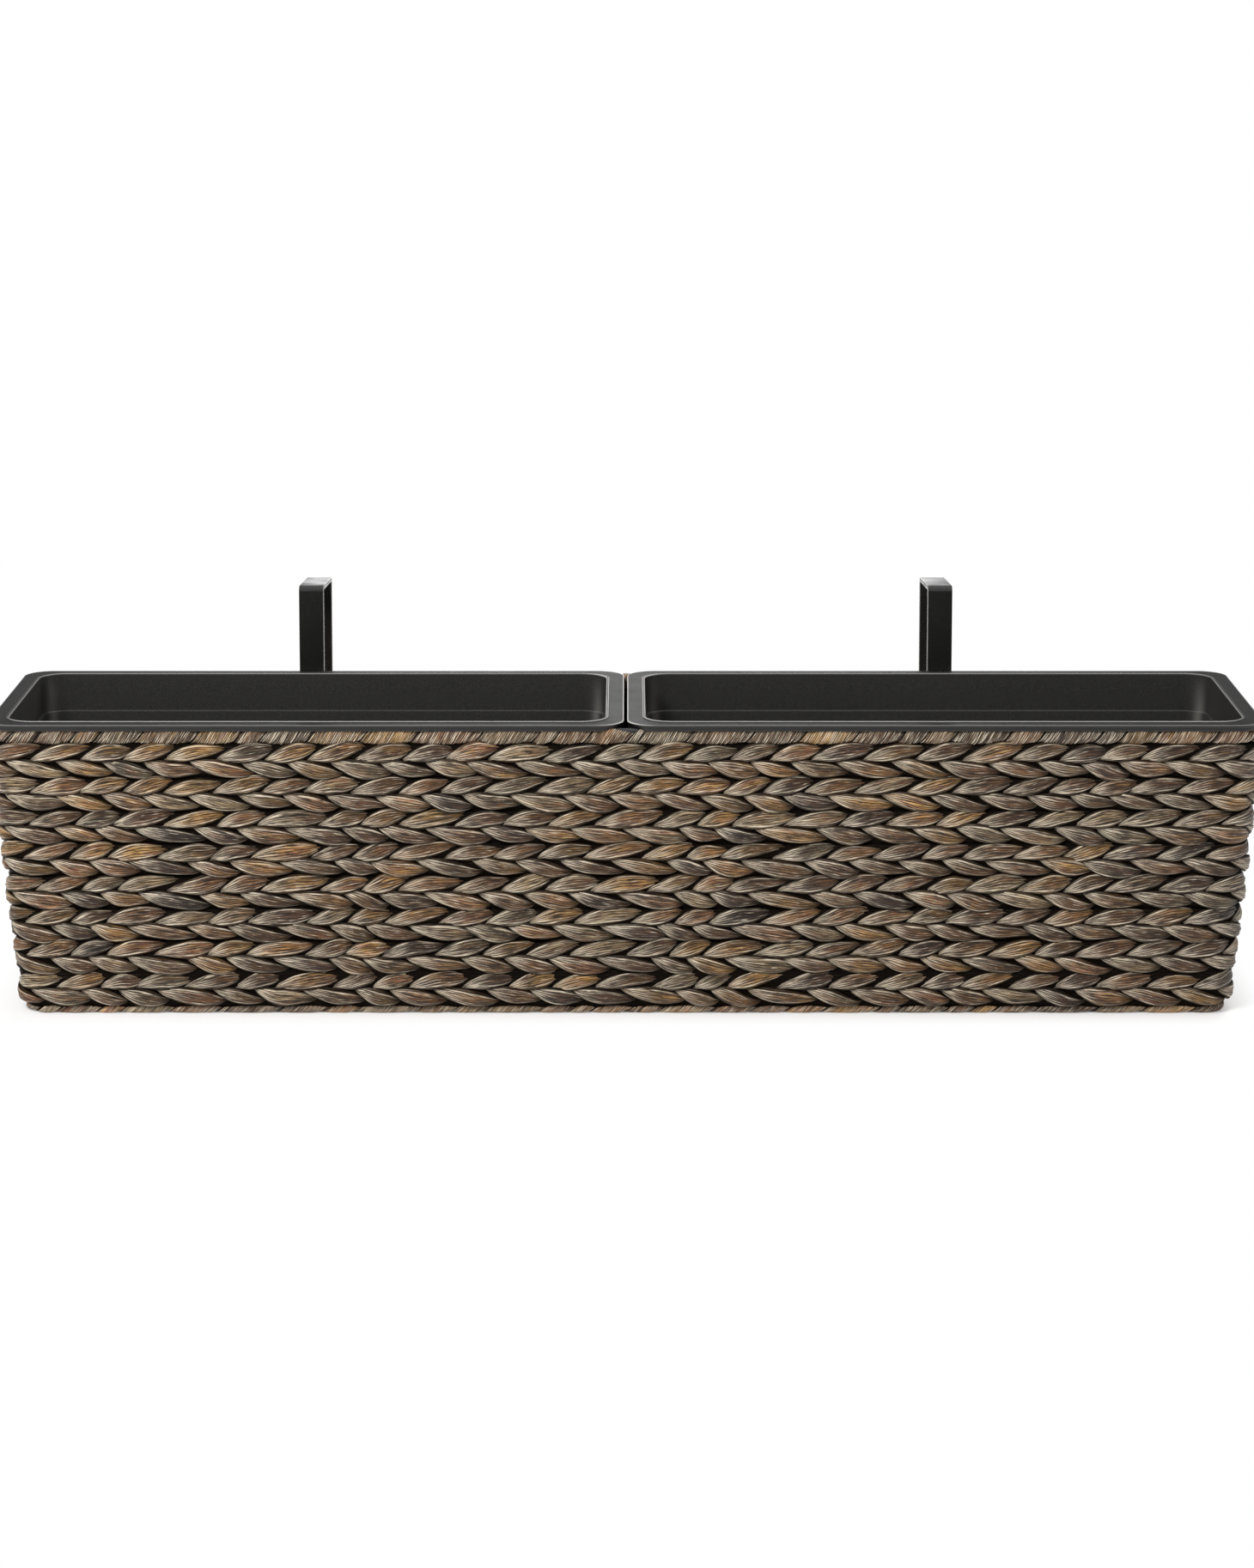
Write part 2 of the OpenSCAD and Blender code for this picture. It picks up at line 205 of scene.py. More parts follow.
def leafMaterial(name, changes):
    look = {**leafLook, **changes}
    material, tree = newMaterial(name)
    strand, places = attributeParts(tree, "strand")
    palettePlace, brightness = attributeParts(tree, "tone")[1][:2]
    worn, gap = attributeParts(tree, "wearAndPaintedLight")[1][:2]

    def fibres(across, along, detail):
        placed = addNode(tree, "Mapping", {"vector_type": "POINT"}, {
            "Vector": strand, "Scale": (1 / across, 1 / across, 1 / along)})
        return addNode(tree, "TexNoise", values={
            "Vector": placed, "Scale": 1.0, "Detail": detail, "Roughness": look["noiseRoughness"]})

    # furrows between the leaf's ribs: a power of a raised sine across the strand, bent by a
    # slow noise and taken off the fibres' noise
    bend = addNode(tree, "MapRange", values={
        0: fibres(look["bendWidth"], look["bendLength"], 1),
        1: 0.0, 2: 1.0, 3: 0.0, 4: look["bend"]})
    turned = addNode(tree, "Math", {"operation": "MULTIPLY_ADD"}, {
        0: places[0], 1: fullTurn / look["ribPitch"], 2: bend})
    wave = addNode(tree, "Math", {"operation": "SINE"}, {0: turned})
    raised = addNode(tree, "Math", {"operation": "MULTIPLY_ADD"}, {0: wave, 1: 0.5, 2: 0.5})
    rib = addNode(tree, "Math", {"operation": "POWER"}, {0: raised, 1: look["furrowPower"]})
    broken = addNode(tree, "Math", {"operation": "MULTIPLY_ADD"}, {
        0: rib, 1: -look["ribShare"], 2: fibres(look["fibreWidth"], look["fibreLength"], 5)})

    # the lobe's own place on the palette moves with the streaks, and broad patches darken it
    spread = addNode(tree, "MapRange", values={
        0: fibres(look["streakWidth"], look["streakLength"], 1),
        1: 0.25, 2: 0.75, 3: -look["streakRange"], 4: look["streakRange"]})
    hue = addNode(tree, "Math", {"operation": "ADD"}, {0: palettePlace, 1: spread})
    base = addNode(tree, "ValToRGB", values={0: hue}, stops=leafPalette)
    shade = addNode(tree, "MapRange", values={
        0: fibres(look["patchWidth"], look["patchLength"], 2),
        1: 0.3, 2: 0.7, 3: look["shade"][0], 4: look["shade"][1]})
    lobe = addNode(tree, "Math", {"operation": "MULTIPLY"}, {0: shade, 1: brightness})
    colour = addNode(tree, "VectorMath", {"operation": "SCALE"}, {0: base, "Scale": lobe})
    # pale fibres, and dark fibres with painted shade along the furrows
    for key in ("pale", "dark"):
        mask = addNode(tree, "MapRange", smoothStep, {
            0: broken, 1: look[key + "From"], 2: look[key + "To"], 3: 0.0, 4: look[key + "Amount"]})
        colour = addNode(tree, "Mix", colourMix, {
            0: mask, 6: colour, 7: linearColour(look[key])}).outputs[2]

    # worn tips and painted highlights along the edges are pale again, and painted shade makes the
    # gaps between the lobes near black
    wornShare = addNode(tree, "MapRange", values={
        0: broken, 1: look["wornFrom"], 2: look["wornTo"], 3: look["wornLeast"], 4: look["worn"]})
    wornMask = addNode(tree, "Math", {"operation": "MULTIPLY"}, {0: worn, 1: wornShare})
    for mask, key in ((wornMask, "pale"), (gap, "gap")):
        colour = addNode(tree, "Mix", colourMix, {
            0: mask, 6: colour, 7: linearColour(look[key])}).outputs[2]
    bump = addNode(tree, "Bump", values={
        "Strength": look["bump"], "Distance": look["bumpDepth"] * millimetre, "Height": broken})
    # reflections are dimmed where the painted shade lies
    outside = addNode(tree, "Math", {"operation": "SUBTRACT"}, {0: 1.0, 1: gap})
    level, varnish = [addNode(tree, "Math", {"operation": "MULTIPLY"}, {
        0: outside, 1: look[key]}) for key in ("specular", "varnish")]
    shader = addNode(tree, "BsdfPrincipled", values={
        "Base Color": colour, "Roughness": look["roughness"], "IOR": look["refraction"],
        "Specular IOR Level": level, "Coat Weight": varnish,
        "Coat Roughness": look["varnishRoughness"], "Normal": bump})
    addNode(tree, "OutputMaterial", values={0: shader})
    return material


plaitedHyacinth = leafMaterial("plaitedHyacinthVarnished", {
    "fibreWidth": 0.6, "fibreLength": 9.0, "patchWidth": 3.0, "patchLength": 18.0,
    "streakWidth": 1.2, "streakLength": 20.0, "streakRange": 0.16,
    "ribPitch": 1.55, "ribShare": 0.24,
    "paleFrom": 0.55, "paleTo": 0.64, "paleAmount": 0.62, "pale": "#ddd0ba",
    "darkFrom": 0.475, "darkTo": 0.385, "darkAmount": 0.95, "dark": "#140e0a", "gap": "#120e0b",
    "worn": 1.0, "bump": 1.0, "bumpDepth": 1.1, "roughness": 0.45, "varnish": 0.12})
wrappedHyacinth = leafMaterial("wrappedHyacinthVarnished", {
    "fibreWidth": 0.7, "fibreLength": 9.0, "patchWidth": 2.0, "patchLength": 20.0,
    "streakWidth": 1.5, "streakLength": 12.0, "streakRange": 0.1,
    "ribPitch": 1.0, "ribShare": 0.08,
    "paleFrom": 0.48, "paleTo": 0.6, "paleAmount": 0.7, "pale": "#d8ccb8",
    "darkFrom": 0.46, "darkTo": 0.36, "darkAmount": 0.8, "dark": "#1e1712", "gap": "#0e0b09",
    "worn": 0.6, "bump": 0.8, "bumpDepth": 0.4, "roughness": 0.5, "varnish": 0.15})
print("leaf materials made")


plaitLook = {
    "thickness": 9.2,        # of a whole plait, front to back
    "cornerRadius": 15.4,    # of its middle line
    "period": 88.0,          # length in which one strand comes back to its place
    "sideSwing": 10.3, "depthSwing": 2.2,
    "lobeStart": -0.35, "lobeEnd": 2.15,    # radians at which a lobe leaves and ends
    "lobeRise": (0.12, 0.54, 0.8),    # shares of the side swing at its start, middle and end
    "frontFrom": 0.5, "frontTo": 1.4,    # radians between which it lies in front
    "depthRise": (0.3, 1.0, 0.7, -0.4, -1.5),    # depth shares at start, from, to, end, behind
    "sideBlur": 0.22, "depthBlur": 0.18,    # radians that round the two swings' corners
    "lobeCentre": 0.88,      # where it is widest
    "lobeReach": 1.28,       # radians from there to its tips
    "halfWidth": 5.8, "halfThickness": 2.4,
    "tipWidth": 0.2, "tipThickness": 0.8,    # shares that are left between two lobes
    "roll": 0.25, "rollFrom": 0.1,    # radians by which a lobe turns towards the plait's edge
    "swingVariation": 0.14, "widthVariation": 0.25, "tilt": 0.9, "drift": 0.5,
    "slip": 0.28,            # radians by which all three strands run ahead or behind
    "slipWaves": (3, 30, 5), "driftWaves": (3, 40, 6), "ridgeWaves": (2, 60, 5),
    "topSink": 2.4,          # how far the wound rim pushes the top course down, less further down
    "ridges": 7, "ridgeDepth": 0.36, "ridgeTurn": 3.0,
    "wornShift": 0.1, "wornPower": 6,    # of the pale tips
    "rimPlace": 0.67, "rimSpread": 0.1, "rimWearAndHighlight": 0.9,    # of the pale line inside each edge: partly wear, partly a painted highlight
    "seamPlace": 0.76, "seamSpread": 0.13, "seamGap": 0.9,    # of the dark line at each edge: painted shade where the lobe turns back
    "gapFrom": 1.15, "gapDepth": 0.55,    # painted shade: darkness in the middle, and how far out it reaches
    "coreWidth": 11.0, "coreThickness": 1.5,    # half sizes of the leaf hidden in the middle
    # the core's palette place and brightness, and its painted shade, which makes it near black
    "coreTone": (0.15, 0.6, 0), "corePaintedShade": (0, 0.97, 0),
    "footWidening": 2.5, "footLean": 0.16,    # the first core ends inside the ground ring
    "startShare": 0.285,     # of the way round the basket, from the middle of the front
    "colourShift": 0.15,     # of a half turn: a lobe's colour begins this much before it
    "step": 2.1, "around": 24}

# Kinds of lobe: the share of lobes up to which a kind goes, and its range on the palette
lobeKinds = {
    "nearBlack": (0.1, 0.12, 0.28), "taupe": (0.58, 0.34, 0.6), "ochre": (0.7, 0.6, 0.72),
    "reddish": (0.8, 0.74, 0.8), "grey": (1.0, 0.86, 0.97)}
lobeBrightness = (0.55, 1.6)

# Each strand reads its own stretch of the leaf's pattern: millimetres from one to the next
patternRun = {"course": 7000, "strand": 2300, "core": 500,
              "base": 90000, "basePlait": 3000, "baseStrand": 1000}


def lobeTable(random, count):
    # palette place and brightness of each lobe
    kind = random.random(count)
    ranges = [random.uniform(low, high, count) for _, low, high in lobeKinds.values()]
    place = np.select([kind < share for share, _, _ in lobeKinds.values()], ranges)
    return place, random.uniform(*lobeBrightness, count)


def wander(random, share, waveCounts):
    # A smooth closed curve about zero: a sum of sines with whole waves over the length. The
    # counts are the fewest waves, one more than the most, and how many sines there are.
    low, high, waves = waveCounts
    parts = [np.sin(fullTurn * (wave * share + start))
             for wave, start in zip(random.integers(low, high, waves), random.random(waves))]
    return sum(parts) / math.sqrt(waves)


def rounded(t, period, blur, knots, values):
    # a periodic line through the knots, its corners rounded by a mean over t - blur to t + blur
    steps = np.linspace(-blur, blur, 9)
    lines = [np.interp(t + step, knots, values, period=period) for step in steps]
    return sum(lines) / len(lines)


def braidCore(look, base, outward, side, lean, offset):
    # The leaf inside the plait, painted near black as the shade between the lobes: an oval of
    # coreWidth cos v and coreThickness sin v along the middle line. It leans by the given slope,
    # so that it meets the core of the next plait.
    v = fullTurn * np.arange(8) / 8
    across, deep = look["coreWidth"] * np.cos(v), look["coreThickness"] * np.sin(v)
    ring = (base[:, None] + side[:, None] * across[None, :, None]
            + outward[:, None] * (deep + lean * across)[None, :, None])
    run = np.arange(len(base)) * np.linalg.norm(base[1] - base[0]) + offset
    space = triples(across[None, :], deep[None, :], run[:, None])
    return ring, space, space * 0 + look["coreTone"], space * 0 + look["corePaintedShade"]


def braidStrand(look, base, outward, side, turns, phase, closed, random, offset):
    # One of the three strands of a flat braid. With t = 2 pi * turns * share + phase it sways
    # sideways in a rounded zigzag: in front, from the middle at lobeStart in an arch out to the
    # edge at lobeEnd, then quickly back behind, and half a turn later to the other side. Its
    # section is a flat ellipse across its path, widest at a lobe's centre and narrowed to its
    # tips by a cosine, like a leaf. Depths within 1 mm of half the plait's thickness are
    # pressed back by a hyperbolic tangent.
    count = len(base)
    share = np.arange(count) / (count if closed else count - 1)
    slip = look["slip"] * wander(np.random.default_rng(int(1000 * turns)), share, look["slipWaves"])
    t = fullTurn * turns * share + phase + slip
    halves = int(math.ceil(2 * turns)) + (0 if closed else 4)
    half = np.floor(t / math.pi).astype(int) % halves
    window = np.sin(t) ** 2
    start, centre, end = look["lobeStart"], look["lobeCentre"], look["lobeEnd"]
    swing = 1 + look["swingVariation"] * random.uniform(-1, 1, halves)[half] * window
    width = 1 + look["widthVariation"] * random.uniform(-1, 1, halves)[half] * window
    tilt = look["tilt"] * random.uniform(-1, 1, halves)[half] * window * np.sin(2 * (t - centre))
    drift = wander(random, share, look["driftWaves"])
    first, middle, last = look["lobeRise"]
    zigzag = rounded(t, fullTurn, look["sideBlur"],
                     [end - math.pi, start, centre, end, start + math.pi, centre + math.pi],
                     [-last, first, middle, last, -first, -middle])
    lateral = look["sideSwing"] * swing * zigzag + tilt + look["drift"] * drift
    depth = look["depthSwing"] * rounded(
        t, math.pi, look["depthBlur"],
        [start, look["frontFrom"], look["frontTo"], end, (end + start + math.pi) / 2],
        look["depthRise"])
    path = base + side * lateral[:, None] + outward * depth[:, None]
    if closed:
        tangent = np.roll(path, -1, axis=0) - np.roll(path, 1, axis=0)
    else:
        tangent = np.gradient(path, axis=0)
    tangent /= np.linalg.norm(tangent, axis=1)[:, None]
    wide = side - tangent * (side * tangent).sum(1)[:, None]
    wide /= np.linalg.norm(wide, axis=1)[:, None]
    deep = np.cross(tangent, wide)
    deep *= np.sign((deep * outward).sum(1))[:, None]
    fromStart = np.sign(np.sin(t - start))
    roll = look["roll"] * fromStart * np.maximum(np.cos(t - centre) ** 2 - look["rollFrom"], 0)
    wide, deep = (wide * np.cos(roll)[:, None] - deep * np.sin(roll)[:, None],
                  deep * np.cos(roll)[:, None] + wide * np.sin(roll)[:, None])
    fromCentre = (t - centre + math.pi / 2) % math.pi - math.pi / 2
    leaf = np.cos(np.minimum(np.abs(fromCentre) / look["lobeReach"], 1) * math.pi / 2)
    narrow = look["tipWidth"] + (1 - look["tipWidth"]) * leaf
    halfWidth = look["halfWidth"] * width * narrow
    thin = look["tipThickness"] + (1 - look["tipThickness"]) * narrow
    halfThickness = look["halfThickness"] * thin
    v = fullTurn * np.arange(look["around"]) / look["around"]
    turn = look["ridgeTurn"] * wander(random, share, look["ridgeWaves"])
    ridge = look["ridgeDepth"] * np.cos(look["ridges"] * v + turn[:, None])
    ring = (path[:, None] + wide[:, None] * (halfWidth[:, None] * np.cos(v))[..., None]
            + deep[:, None] * ((halfThickness[:, None] + ridge) * np.sin(v))[..., None])
    halfDeep = look["thickness"] / 2
    level = ((ring - base[:, None]) * outward[:, None]).sum(-1)
    over = np.maximum(np.abs(level) - (halfDeep - 1), 0)
    pressed = np.sign(level) * (np.minimum(np.abs(level), halfDeep - 1) + np.tanh(over))
    ring += outward[:, None] * (pressed - level)[..., None]
    # attributes: place on the straightened strand, the lobe's palette place and brightness, and
    # wear with a painted highlight together with painted shade in the gaps, each of the last two
    # with an unused third value
    run = np.concatenate([[0], np.cumsum(np.linalg.norm(np.diff(path, axis=0), axis=1))])
    space = triples(look["halfWidth"] * np.cos(v), look["halfThickness"] * np.sin(v),
                    run[:, None] + offset)
    colourHalf = np.floor(t / math.pi + look["colourShift"]).astype(int) % halves
    place, bright = lobeTable(random, halves)
    edge = np.abs(np.cos(v))
    tip = np.abs(np.cos(t + look["wornShift"])) ** look["wornPower"]
    rim = np.exp(-((edge - look["rimPlace"]) / look["rimSpread"]) ** 2)
    wearAndPaintedLight = np.clip(tip[:, None] + look["rimWearAndHighlight"] * rim, 0, 1)
    seam = np.clip((edge - look["seamPlace"]) / look["seamSpread"], 0, 1)
    # painted shade: near black towards the plait's middle, and a dark line where each lobe turns
    # back
    gap = np.clip(look["gapFrom"] - np.abs(pressed) / (look["gapDepth"] * halfDeep), 0, 1)
    gap = np.maximum(gap, look["seamGap"] * seam)
    tone = triples(place[colourHalf][:, None], bright[colourHalf][:, None], 0 * gap)
    return ring, space, tone, triples(wearAndPaintedLight, gap, 0.0)


def strandMesh(parts, closed):
    # joins strands into one mesh, and gives each face corner its attribute values
    points, quads, caps = [], [], []
    values = {"strand": [], "tone": [], "wearAndPaintedLight": []}
    start = 0
    for ring, space, *shades in parts:
        count, around = ring.shape[:2]
        last = count if closed else count - 1
        faces = tubeFaces(count, around)[:last * around]
        stepAlong = np.linalg.norm(ring[1, 0] - ring[0, 0])
        corner = space.reshape(-1, 3)[faces]
        corner[:, 1, 2] = corner[:, 0, 2] + stepAlong    # no jump where the ring closes
        corner[:, 2, 2] = corner[:, 3, 2] + stepAlong
        points.append(ring.reshape(-1, 3))
        quads.append(faces + start)
        flat = [data.reshape(-1, 3) for data in (space, *shades)]
        rows = [corner.reshape(-1, 3), *[data[faces].reshape(-1, 3) for data in flat[1:]]]
        ends = [] if closed else endCaps(count, around)
        for key, row, data in zip(values, rows, flat):
            values[key].append((row, [data[end] for end in ends]))
        caps += [end + start for end in ends]
        start += count * around
    # the corners of all quads come first, then those of all caps
    corners = {}
    for key, data in values.items():
        capRows = [cap for _, ends in data for cap in ends]
        corners[key] = np.concatenate([row for row, _ in data] + capRows)
    return np.concatenate(points), np.concatenate(quads), caps, corners


courseCount, basePlaitCount = 8, 7


def plaitCourse(number):
    node = f"plait_course_{number}"
    middle, half = nodeBox(node)[2:]
    halfLong, halfWide = half[:2] - plaitLook["thickness"] / 2
    centreY, z = middle[1:]
    z -= plaitLook["topSink"] * (number - 1) / (courseCount - 1)
    length = pathLength(halfLong, halfWide, plaitLook["cornerRadius"])
    turns = round(length / plaitLook["period"])
    count = round(length / plaitLook["step"])
    random = np.random.default_rng(100 + number)
    # the strands begin and end at a back corner
    s = length * (np.arange(count) / count + plaitLook["startShare"]) + random.uniform(0, 20)
    x, y, outX, outY = roundedPath(halfLong, halfWide, plaitLook["cornerRadius"], centreY, s)
    base, outward = triples(x, y, z), triples(outX, outY, 0.0)
    side = np.tile([0.0, 0.0, 1.0], (count, 1))
    run = number * patternRun["course"]
    parts = [braidStrand(plaitLook, base, outward, side, turns, k * fullTurn / 3, True, random,
                         run + k * patternRun["strand"]) for k in range(3)]
    core, lean = plaitLook, wallSlope
    if number == 1:
        core = dict(plaitLook, coreWidth=plaitLook["coreWidth"] + plaitLook["footWidening"])
        lean = plaitLook["footLean"]
    parts.append(braidCore(core, base, outward, side, lean, number * patternRun["core"]))
    points, quads, caps, corners = strandMesh(parts, closed=True)
    piece = makePiece(f"plaited_course_{number}", points, quads, plaitedHyacinth, caps, corners)
    dress(piece, "root", "leaf_plait", node)


for number in range(1, courseCount + 1):
    plaitCourse(number)
print("plaited courses made")


basePlaitLook = dict(plaitLook, thickness=7.2, period=80.0, sideSwing=9.5, depthSwing=1.6,
                     halfWidth=5.1, halfThickness=1.9, coreWidth=10.1, coreThickness=1.2,
                     step=2.6, around=14)


def basePlait(number):
    node = f"base_plait_{number}"
    low, high, middle = nodeBox(node)[:3]
    length = high[0] - low[0]
    count = round(length / basePlaitLook["step"]) + 1
    random = np.random.default_rng(300 + number)
    base = triples(np.linspace(low[0], high[0], count), *middle[1:])
    outward = np.tile([0.0, 0.0, -1.0], (count, 1))
    side = np.tile([0.0, 1.0, 0.0], (count, 1))
    turns = length / basePlaitLook["period"]
    run = patternRun["base"] + number * patternRun["basePlait"]
    parts = [braidStrand(basePlaitLook, base, outward, side, turns, k * fullTurn / 3, False,
                         random, run + k * patternRun["baseStrand"]) for k in range(3)]
    parts.append(braidCore(basePlaitLook, base, outward, side, 0, number * patternRun["core"]))
    points, quads, caps, corners = strandMesh(parts, closed=False)
    piece = makePiece(f"plaited_base_{number}", points, quads, plaitedHyacinth, caps, corners)
    dress(piece, "root", "leaf_plait", node)


for number in range(1, basePlaitCount + 1):
    basePlait(number)
print("base plaits made")


wrapLook = {
    "cornerRadius": 12.2,     # of the rod's middle line
    "strokePitch": 1.3,       # width of one wound strand, along the rim
    "strandsAbreast": 14,     # strands that are wound side by side
    "bundle": (9, 30),        # fewest and most strands of one leaf, with a slit after each leaf
    "columns": 4, "around": 16,
    "groove": 0.5, "grooveCurve": 2.2, "slit": 1.0, "unevenness": 0.3, "uneven": (0.7, 1.3),
    "patch": 45.0, "patchShare": 0.3,    # length and strength of lighter and darker stretches
    "patchHue": 0.08, "strandHue": 0.05, "shades": [0.7, 0.95, 1.05, 1.3],
    "slitShade": 0.15, "endShade": 0.75, "archShade": 0.35,    # painted shade in the slit and beside it, painted light on the top of each leaf's arch
    # painted highlight along each strand's crest; painted shade between the strands and in the
    # slits
    "wearAndPaintedLight": 0.5, "gapFrom": 0.7, "gapFall": 1.9, "slitGap": 0.9,
    "backReach": 9.0, "frontReach": 14.0}    # how far the rise and the dip reach from x = 0
rimWrap = dict(wrapLook, radius=3.8, oval=(6.2, 6.0, 2.2), rise=2.2, dip=1.4,
               lightness=0.85, seed=41)
groundWrap = dict(wrapLook, radius=3.2, oval=(3.9, 3.5, 0.0), rise=0.0, dip=0.0,
                  lightness=1.25, seed=42)


def woundRing(name, node, look):
    # A tube wound with strands. Ring i is sheared along the helix: at the angle a its place on
    # the path is i * step + advance * a / 2 pi, and its radius dips between two strands and,
    # deeper, between two leaves. The oval is how far the section reaches outwards, its half
    # height and how far its middle is lowered. Where the liners' corners meet at x = 0 its top
    # rises at the back and dips in front, by (1 - (x / reach)^2)^2.
    high, middle, half = nodeBox(node)[1:]
    radius, cornerRadius = look["radius"], look["cornerRadius"]
    halfLong, halfWide = half[:2] - radius
    centreY, z = middle[1], high[2] - radius
    length = pathLength(halfLong, halfWide, cornerRadius)
    columns, around = look["columns"], look["around"]
    strands = round(length / look["strokePitch"])
    count, shift = strands * columns, look["strandsAbreast"] * columns
    random = np.random.default_rng(look["seed"])
    bundles = random.integers(*look["bundle"], strands)
    bundle = np.repeat(np.arange(strands), bundles)[:strands]
    within = np.arange(strands) - (np.cumsum(bundles) - bundles)[bundle]
    arch = np.sin(math.pi * (within + 0.5) / bundles[bundle])
    angle = fullTurn * np.arange(around) / around + math.pi    # the first column faces inwards
    widths = np.repeat(random.uniform(*look["uneven"], strands), columns)
    edges = np.concatenate([[0], np.cumsum(widths)])
    along = edges[:-1] * length / edges[-1]
    advance = shift * length / count
    s = along[:, None] + advance * (angle[None, :] - math.pi) / fullTurn
    profile = np.abs(2 * np.arange(columns) / columns - 1) ** look["grooveCurve"]
    sunk = random.uniform(0, 1, strands) * look["unevenness"] + look["slit"] * (1 - arch)
    wide = radius - np.tile(profile, strands) * look["groove"] - np.repeat(sunk, columns)
    share = wide[:, None] / radius
    x, y, outX, outY = roundedPath(halfLong, halfWide, cornerRadius, centreY, s)
    outReach, halfHeight, lowered = look["oval"]
    reach = share * np.where(np.cos(angle) > 0, outReach, radius) * np.cos(angle)
    rise = share * halfHeight * np.sin(angle) - lowered
    topShare = np.maximum(np.sin(angle), 0)
    back, front = [np.maximum(1 - (x / look[key]) ** 2, 0) ** 2 * topShare
                   for key in ("backReach", "frontReach")]
    rise += look["rise"] * back * (outY > 0.9) - look["dip"] * front * (outY < -0.9)
    points = triples(x + outX * reach, y + outY * reach, np.maximum(z + rise, 0))
    quads = tubeFaces(count, around, shift)
    # corner values: the strand's own number, the share of its width and the run round the rod
    i, j = np.divmod(np.arange(count * around), around)
    stepI, stepJ = np.array([0, 1, 1, 0]), np.array([0, 0, 1, 1])
    strandNumber = i // columns
    across = (i % columns)[:, None] + stepI
    turns = (j[:, None] + stepJ) / around + (strandNumber // look["strandsAbreast"])[:, None]
    run = radius * fullTurn * turns
    offset = random.uniform(0, 900, strands)[strandNumber][:, None]
    space = triples(across * look["strokePitch"] / columns + offset, 0.0, run)
    marks = round(length / look["patch"])
    patches = np.interp(np.arange(strands) * length / strands, np.linspace(0, length, marks),
                        random.uniform(-1, 1, marks))
    place, bright = lobeTable(random, strands)
    place = place[bundle] + look["patchHue"] * patches
    place += look["strandHue"] * random.uniform(-1, 1, strands)
    bright = bright[bundle] * look["lightness"] * (1 + look["patchShare"] * patches)
    bright *= random.choice(look["shades"], strands)
    # painted shade: the strand at each slit is darker, and each leaf is darker at its ends and
    # lighter on its arch's top
    bright *= np.where(within == 0, look["slitShade"], 1)
    bright *= look["endShade"] + look["archShade"] * arch
    tone = triples(place[strandNumber][:, None], bright[strandNumber][:, None], 0.0 * across)
    # painted highlight on each strand's crest, painted shade between the strands and in the slits
    crest = 1 - np.abs(2 * across / columns - 1)
    slit = (within == 0)[strandNumber][:, None]
    between = np.clip(look["gapFrom"] - look["gapFall"] * crest, 0, 1)
    wearAndPaintedLight = triples(look["wearAndPaintedLight"] * crest, np.maximum(between, look["slitGap"] * slit), 0.0)
    piece = makePiece(name, points.reshape(-1, 3), quads, wrappedHyacinth, corners={
        "strand": space.reshape(-1, 3), "tone": tone.reshape(-1, 3),
        "wearAndPaintedLight": wearAndPaintedLight.reshape(-1, 3)})
    dress(piece, "root", "leaf_wrap", node)


woundRing("wound_rim", "rim_wrap_top", rimWrap)
woundRing("wound_ground_ring", "rim_wrap_bottom", groundWrap)
print("wound rings made")


# Moulded polypropylene: near black, with the fine sparked grain of its mould; painted highlights
# along its edges and in its inner corners, and painted shade on the lip and the flange
linerLook = {"grain": 0.6, "grainDepth": 0.08, "cloud": 30.0, "roughness": (0.32, 0.4),
             "edgeRoughness": 0.14, "gloss": 0.5, "edgeGloss": 0.9, "low": "#252524",
             "high": "#373635", "edge": "#d6d4d0", "sheen": "#5e5b58", "shaded": "#0c0c0c"}


def edgeShine(tree, edge, rough, tint, look):
    # along its rounded edges the piece is smoother, and a little paler by a painted highlight
    smoother = addNode(tree, "Mix", values={0: edge, 2: rough, 3: look["edgeRoughness"]})
    paler = addNode(tree, "Mix", colourMix, {0: edge, 6: tint, 7: linearColour(look["edge"])})
    return smoother, paler.outputs[2]


mouldedPolypropylene, tree = newMaterial("mouldedPolypropylene")
place = addNode(tree, "TexCoord").outputs["Object"]
polishAndHighlight, sheen, shaded = attributeParts(tree, "edge")[1]
grain, cloud = [addNode(tree, "TexNoise", values={
    "Vector": place, "Scale": 1 / (linerLook[key] * millimetre), "Detail": 2.0})
    for key in ("grain", "cloud")]
rough = addNode(tree, "MapRange", values={
    0: cloud, 1: 0.3, 2: 0.7, 3: linerLook["roughness"][0], 4: linerLook["roughness"][1]})
tint = addNode(tree, "ValToRGB", values={0: grain}, stops=[
    (0.35, linerLook["low"]), (0.7, linerLook["high"])])
for mask, key in ((sheen, "sheen"), (shaded, "shaded")):
    tint = addNode(tree, "Mix", colourMix, {
        0: mask, 6: tint, 7: linearColour(linerLook[key])}).outputs[2]
gloss = addNode(tree, "Mix", values={0: polishAndHighlight, 2: linerLook["gloss"], 3: linerLook["edgeGloss"]})
rough, tint = edgeShine(tree, polishAndHighlight, rough, tint, linerLook)
bump = addNode(tree, "Bump", values={
    "Strength": 0.5, "Distance": linerLook["grainDepth"] * millimetre, "Height": grain})
shader = addNode(tree, "BsdfPrincipled", values={
    "Base Color": tint, "Roughness": rough, "IOR": 1.49, "Specular IOR Level": gloss,
    "Normal": bump})
addNode(tree, "OutputMaterial", values={0: shader})


